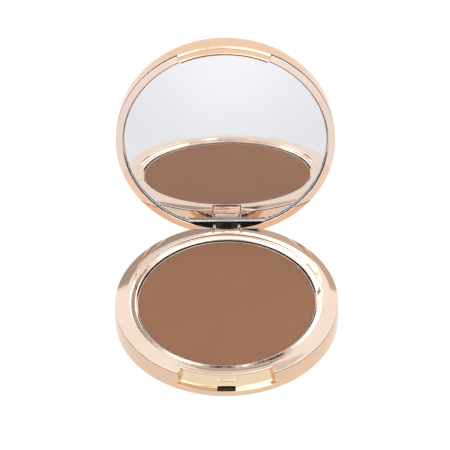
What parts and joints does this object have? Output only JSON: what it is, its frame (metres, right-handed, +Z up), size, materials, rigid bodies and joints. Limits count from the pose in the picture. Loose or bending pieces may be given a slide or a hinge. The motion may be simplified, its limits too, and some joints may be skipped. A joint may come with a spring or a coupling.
{
  "type": "powder compact",
  "caption": "Round hinged powder compact with a mirror in the lid, a pan of pressed powder in the base, a hinge lug at the back and a latch tab over a thumb notch at the front.",
  "frame": {"origin": "centre of the flat underside, on the surface the compact rests on", "axes": "+Z up, +Y towards the hinge, the thumb notch faces -Y, +X along the hinge axis"},
  "size_m": [0.076, 0.0974, 0.0752],
  "materials": {
    "rose_gold_shell": "vacuum-metallised rose gold over moulded plastic, mirror gloss",
    "rose_gold_frame": "vacuum-metallised pale rose gold over moulded plastic, mirror gloss",
    "mirror_glass": "silvered float glass with a ground edge",
    "pressed_powder": "dead matt pressed powder, warm brown",
    "pan_aluminium": "drawn bare aluminium",
    "hinge_steel": "bright drawn steel wire",
    "adhesive": "translucent hot-melt glue",
    "black_foam": "black closed-cell foam tape",
    "label_paper": "blank coated paper, satin"
  },
  "bodies": {
    "base": {"base_shell": "rose_gold_shell", "base_frame": "rose_gold_frame", "powder_pan": "pan_aluminium", "pressed_powder": "pressed_powder", "pan_adhesive": "adhesive", "base_label": "label_paper", "hinge_pin": "hinge_steel"},
    "lid": {"lid_shell": "rose_gold_shell", "lid_frame": "rose_gold_frame", "mirror": "mirror_glass", "foam_pad": "black_foam"}
  },
  "joints": [
    {"name": "lid_hinge", "type": "hinge", "parent": "base", "child": "lid", "pos_m": [0, 0.03568, 0.00374], "axis": [1, 0, 0], "range_deg": [0, 99.84]}
  ]
}
